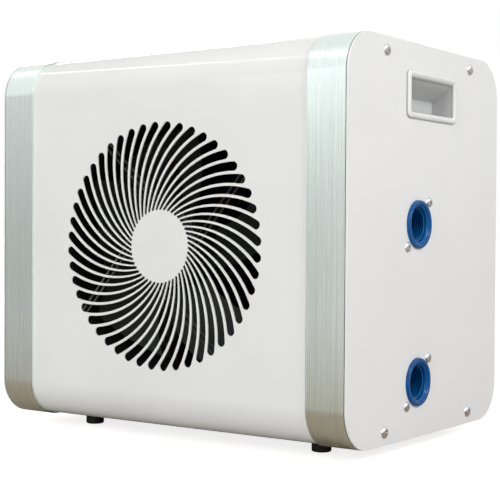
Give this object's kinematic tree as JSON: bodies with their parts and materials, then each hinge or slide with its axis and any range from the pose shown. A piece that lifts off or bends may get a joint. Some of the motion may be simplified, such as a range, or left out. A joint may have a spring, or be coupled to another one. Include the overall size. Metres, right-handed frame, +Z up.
{
  "type": "heat pump unit",
  "caption": "Compact pool heat pump: wrapped sheet cabinet with a spiral fan grille, aluminium end bands, handles, water ports, rubber feet.",
  "frame": {"origin": "on the floor below the middle of the cabinet", "axes": "+Z up, the grille faces -Y, the water ports face +X"},
  "size_m": [0.461, 0.3324, 0.4138],
  "materials": {
    "galvanised": "satin",
    "white_powder_coat": "fine orange peel",
    "black_coated_wire": "satin",
    "black_nylon": "matte",
    "brushed_aluminium": "brushed, anodised",
    "grey_white_powder_coat": "satin",
    "grey_white_plastic": "satin",
    "blue_plastic": "gloss",
    "black_rubber": "matte",
    "polished_screws": "polished",
    "zinc_steel": "zinc plated",
    "black_plastic": "matte",
    "cast_aluminium": "cast",
    "black_enamel": "satin",
    "grey_plastic": "satin",
    "bearing_steel": "ground",
    "fin_aluminium": "mill",
    "copper": "drawn copper",
    "titanium": "drawn",
    "stainless": "rolled",
    "motor_steel": "laminated",
    "pump_iron": "machined",
    "valve_brass": "machined",
    "green_board": "solder mask",
    "grey_can": "drawn",
    "smoked_acrylic": "gloss"
  },
  "bodies": {
    "cabinet": {"base_pan": "galvanised", "wrap_cover": "white_powder_coat", "rear_panel": "white_powder_coat", "rear_guard": "black_coated_wire", "cable_gland": "black_nylon", "drain_nipple": "black_nylon", "end_ring_left": "brushed_aluminium", "end_ring_right": "brushed_aluminium", "end_plate_left": "grey_white_powder_coat", "end_plate_right": "grey_white_powder_coat", "handle_cup_left": "grey_white_plastic", "handle_cup_right": "grey_white_plastic", "port_outlet": "blue_plastic", "port_inlet": "blue_plastic", "foot_front_left": "black_rubber", "foot_front_right": "black_rubber", "foot_rear_left": "black_rubber", "foot_rear_right": "black_rubber", "end_plate_screws": "polished_screws", "port_screws": "polished_screws", "foot_screws": "zinc_steel", "panel_screws": "zinc_steel", "fan_ring": "black_plastic", "fan_nuts": "zinc_steel", "motor_support": "black_coated_wire", "fan_motor_stator": "cast_aluminium", "fan_bearings": "bearing_steel", "evaporator_fins": "fin_aluminium", "evaporator_tubes": "copper", "partition_wall": "galvanised", "exchanger_shell": "black_plastic", "exchanger_cap": "black_plastic", "titanium_coil": "titanium", "flow_switch": "black_nylon", "compressor_shell": "black_enamel", "compressor_grommets": "black_rubber", "compressor_bolts": "zinc_steel", "compressor_stator": "motor_steel", "compressor_pump": "pump_iron", "terminal_cover": "black_plastic", "accumulator": "black_enamel", "reversing_valve": "valve_brass", "expansion_valve": "valve_brass", "discharge_pipe": "copper", "suction_pipe": "copper", "gas_pipes": "copper", "liquid_pipe": "copper", "control_box": "galvanised", "circuit_board": "green_board", "run_capacitor": "grey_can", "display_housing": "black_plastic", "display_panel": "smoked_acrylic"},
    "fan": {"fan_motor_rotor": "black_enamel", "fan_impeller": "grey_plastic"},
    "crankshaft": {"compressor_rotor": "motor_steel"},
    "paddle": {"flow_paddle": "stainless"},
    "down_key": {"button_down": "grey_white_plastic"},
    "power_key": {"button_power": "grey_white_plastic"},
    "up_key": {"button_up": "grey_white_plastic"}
  },
  "joints": [
    {"name": "fan_spin", "type": "hinge", "parent": "cabinet", "child": "fan", "pos_m": [0, -0.12, 0.2058], "axis": [0, 1, 0], "continuous": true},
    {"name": "compressor_spin", "type": "hinge", "parent": "cabinet", "child": "crankshaft", "pos_m": [0.148, 0.069, 0.16], "axis": [0, 0, 1], "continuous": true},
    {"name": "paddle_swing", "type": "hinge", "parent": "cabinet", "child": "paddle", "pos_m": [0.155, -0.0595, 0.2298], "axis": [0, 0, -1], "range_deg": [0, 20], "stiffness_Nm_per_rad": 0.02, "springref_deg": -2.86},
    {"name": "down_press", "type": "slide", "parent": "cabinet", "child": "down_key", "axis": [0, 0, -1], "range_m": [0, 0.0008], "stiffness_N_per_m": 400, "springref_m": -0.0005},
    {"name": "power_press", "type": "slide", "parent": "cabinet", "child": "power_key", "axis": [0, 0, -1], "range_m": [0, 0.0008], "stiffness_N_per_m": 400, "springref_m": -0.0005},
    {"name": "up_press", "type": "slide", "parent": "cabinet", "child": "up_key", "axis": [0, 0, -1], "range_m": [0, 0.0008], "stiffness_N_per_m": 400, "springref_m": -0.0005}
  ]
}
